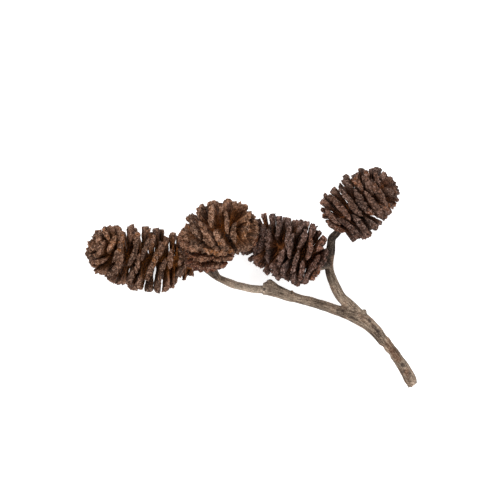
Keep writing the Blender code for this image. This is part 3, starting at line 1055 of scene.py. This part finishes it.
def scale_finish(name, tints):
    """Dry woody scales: rust-brown feet, darker blades, and a grey-brown, pale-flecked crust at the lips,
    with painted shade in the lips' cracks and creases and a painted highlight on the raised crust.
    """
    finish = Finish(name)
    along, crack, height = finish.parts_of("look")
    own, share, second = finish.parts_of("own")
    place = finish.coordinates("")
    patches = finish.noise(place, SCALE_PATCHES, detail=2)
    mottle = finish.noise(place, SCALE_MOTTLE, roughness=0.65)
    specks = finish.noise(place, SCALE_SPECKS, detail=2, roughness=0.7)
    grit = finish.noise(place, SCALE_GRIT, detail=2, roughness=0.6)

    wandering = finish.math("ADD", along, finish.step(mottle, 0.3, 0.7, -0.14, 0.16))
    colour = finish.ramp(wandering, [(0.25, tints.foot), (0.66, tints.blade), (0.90, tints.crust)])
    rusty = finish.step(second, 0.60, 1.0, 0.0, 0.8)
    rusty = finish.math("MULTIPLY", rusty, finish.step(patches, 0.42, 0.60))
    colour = finish.mix(rusty, colour, tints.foot)
    colour = finish.mix(finish.step(mottle, 0.50, 0.38, 0.0, 0.45), colour, tints.foot)
    stained = finish.math("MULTIPLY", finish.step(share, 0.40, 0.14), tints.base_share)
    stained = finish.math("MULTIPLY", stained, finish.step(patches, 0.40, 0.56, 0.45, 1.0))
    colour = finish.mix(stained, colour, tints.base)
    golden = finish.math("MULTIPLY", finish.step(share, 0.72, 0.98), tints.tip_share)
    colour = finish.mix(finish.math("MULTIPLY", golden, finish.step(patches, 0.40, 0.55)), colour, tints.tip)
    # How light each place is: at random per scale, by mottle and by specks, and by painted shade and
    # highlight that follow the crust's height and cracks.
    light = finish.step(own, 0.0, 1.0, 0.70, 1.30)
    # Painted shade in the crust's creases and a painted highlight on its raised parts.
    light = finish.math("MULTIPLY", light, finish.step(height, -0.45, 0.45, 0.42, 1.50))
    light = finish.math("MULTIPLY", light, finish.step(mottle, 0.36, 0.62, 0.50, 1.42))
    # Painted shade down in the lip's cracks.
    light = finish.math("MULTIPLY", light, finish.step(crack, 0.2, 1.0, 1.0, 0.45))
    light = finish.math("MULTIPLY", light, finish.step(specks, 0.38, 0.62, 0.40, 1.60))
    colour = finish.shade(colour, light)
    raised = finish.math("ADD", finish.step(specks, 0.44, 0.62), finish.step(height, -0.2, 0.5, 0.0, 0.7))
    on_lip = finish.step(along, 0.70, 0.95, 0.15, 0.85)
    flecks = finish.math("MULTIPLY", finish.step(raised, 0.90, 1.30), on_lip)
    colour = finish.mix(flecks, colour, tints.fleck)

    normal = finish.bump(grit, GRIT_HEIGHT, 0.8)
    normal = finish.bump(specks, SPECK_HEIGHT, 0.9, below=normal)
    return finish.done(colour, finish.step(specks, 0.3, 0.7, 0.90, 0.55), normal)


BARK_GROOVE = (0.048, 0.031, 0.021)
BARK_MID = (0.150, 0.106, 0.074)
BARK_LIGHT = (0.320, 0.243, 0.180)
# The bark's dark spots, and the painted shade beside the cones.
BARK_DARK_AND_SHADE = (0.014, 0.009, 0.008)
BARK_RUST = (0.150, 0.070, 0.036)
BARK_PALE = (0.520, 0.420, 0.330)
# How the bark's noises are drawn out along the grain, and how fine they are: the first two to the millimetre
# across the grain, the others to the metre.
GRAIN_SCALE = (1, 1, 0.11)
BARK_STREAKS = 1.5
BARK_FIBRES = 6.0
BARK_CLOUDS = 380
BARK_SPECKS = 3600
FIBRE_BUMP = 0.12 * MM
BARK_SPECK_BUMP = 0.05 * MM


def bark_finish():
    """Dry, grooved bark: beige ridges, dark grooves along the stem, and dark, rust-brown and pale patches,
    the dark ones beside the cones painted shade.
    """
    finish = Finish("bark_finish")
    dark, rust, pale = finish.parts_of("tint")
    grain = finish.coordinates("grain", GRAIN_SCALE)
    place = finish.coordinates("")
    streaks = finish.noise(grain, BARK_STREAKS, detail=4, roughness=0.6)
    fibres = finish.noise(grain, BARK_FIBRES, roughness=0.6)
    clouds = finish.noise(place, BARK_CLOUDS)
    specks = finish.noise(place, BARK_SPECKS, roughness=0.7)

    mixed = finish.math("ADD", finish.math("MULTIPLY", streaks, 0.62), finish.math("MULTIPLY", fibres, 0.38))
    colour = finish.ramp(mixed, [(0.38, BARK_GROOVE), (0.47, BARK_MID), (0.62, BARK_LIGHT)])
    colour = finish.mix(finish.step(clouds, 0.50, 0.68, 0.0, 0.35), colour, BARK_RUST)
    colour = finish.mix(pale, colour, BARK_PALE)
    rusty = finish.math("MULTIPLY", rust, finish.step(specks, 0.60, 0.42, 0.4, 1.0))
    colour = finish.mix(rusty, colour, BARK_RUST)
    light = finish.step(clouds, 0.3, 0.7, 0.80, 1.2)
    light = finish.math("MULTIPLY", light, finish.step(specks, 0.38, 0.62, 0.56, 1.44))
    colour = finish.shade(colour, light)
    # Dark spots and, beside the cones, painted shade.
    dark_spots_and_shade = finish.math("MULTIPLY", dark, finish.step(specks, 0.36, 0.62, 1.0, 0.75))
    colour = finish.mix(dark_spots_and_shade, colour, BARK_DARK_AND_SHADE)

    normal = finish.bump(specks, BARK_SPECK_BUMP, 0.7)
    normal = finish.bump(fibres, FIBRE_BUMP, 0.9, below=normal)
    return finish.done(colour, finish.step(streaks, 0.3, 0.7, 0.85, 0.60), normal)


# The camera looks straight down on this point, in millimetres, from this far above it.
LOOK_AT = (-0.11, 6.02, 7.0)
CAMERA_HEIGHT = 600 * MM
# What the frame takes in from side to side at that distance.
FRAME_WIDTH = 107.5 * MM
SENSOR_MM = 36.0


def make_camera():
    """The camera, straight above the sprig."""
    data = bpy.data.cameras.new("camera")
    data.sensor_width = SENSOR_MM
    data.lens = SENSOR_MM * CAMERA_HEIGHT / FRAME_WIDTH
    camera = bpy.data.objects.new("camera", data)
    camera.location = Vector(placed(LOOK_AT)) + Vector((0, 0, CAMERA_HEIGHT))
    bpy.context.scene.collection.objects.link(camera)
    bpy.context.scene.camera = camera


FLOOR_SIZE = 3.0
FLOOR_COLOUR = (0.93, 0.93, 0.93)
# The surface is lit from below as a light table is, so that the sprig casts next to no shadow on it.
FLOOR_GLOW = 0.65
FLOOR_ROUGHNESS = 0.9
FLOOR_SPECULAR = 0.1


def make_floor():
    """The pale surface that the sprig lies on."""
    half = FLOOR_SIZE / 2
    corners = [(-half, -half, 0), (half, -half, 0), (half, half, 0), (-half, half, 0)]
    mesh = bpy.data.meshes.new("floor")
    mesh.from_pydata(corners, [], [(0, 1, 2, 3)])
    finish = Finish("floor_finish")
    finish.shader.inputs["Base Color"].default_value = (*FLOOR_COLOUR, 1)
    finish.shader.inputs["Roughness"].default_value = FLOOR_ROUGHNESS
    finish.shader.inputs["Specular IOR Level"].default_value = FLOOR_SPECULAR
    finish.shader.inputs["Emission Color"].default_value = (*FLOOR_COLOUR, 1)
    finish.shader.inputs["Emission Strength"].default_value = FLOOR_GLOW
    mesh.materials.append(finish.material)
    floor = bpy.data.objects.new("floor", mesh)
    bpy.context.scene.collection.objects.link(floor)


WORLD_LIGHT = 0.75
# The two lamps: where each is and how large, in metres, and its power in watts.
KEY = ((-0.5, 0.5, 0.8), 0.5, 6.0)
FILL = ((0.6, -0.3, 0.7), 0.6, 3.0)


def add_soft_light(name, place, size, power):
    """A large square lamp at the place, in metres, that faces the sprig."""
    data = bpy.data.lights.new(name, "AREA")
    data.shape = "SQUARE"
    data.size = size
    data.energy = power
    lamp = bpy.data.objects.new(name, data)
    lamp.location = place
    lamp.rotation_euler = (-Vector(place)).to_track_quat("-Z", "Y").to_euler()
    bpy.context.scene.collection.objects.link(lamp)


def make_light():
    """Even light from all round, a little stronger from above and one side."""
    world = bpy.data.worlds.new("studio")
    world.use_nodes = True
    background = world.node_tree.nodes["Background"]
    background.inputs["Color"].default_value = (1, 1, 1, 1)
    background.inputs["Strength"].default_value = WORLD_LIGHT
    bpy.context.scene.world = world
    add_soft_light("key", *KEY)
    add_soft_light("fill", *FILL)


def build_looks():
    """Everything that stands in for the solids, and what shows it."""
    make_camera()
    make_floor()
    make_light()
    stretches = stem_points()
    stems = stem_balls(stretches)
    make_twig(stretches, bark_finish())
    for cone in CONES:
        make_cone(cone, stems, scale_finish(cone.name + "_finish", CONE_TINTS[cone.name]))
    bpy.context.scene.view_settings.view_transform = "Standard"


build_looks()
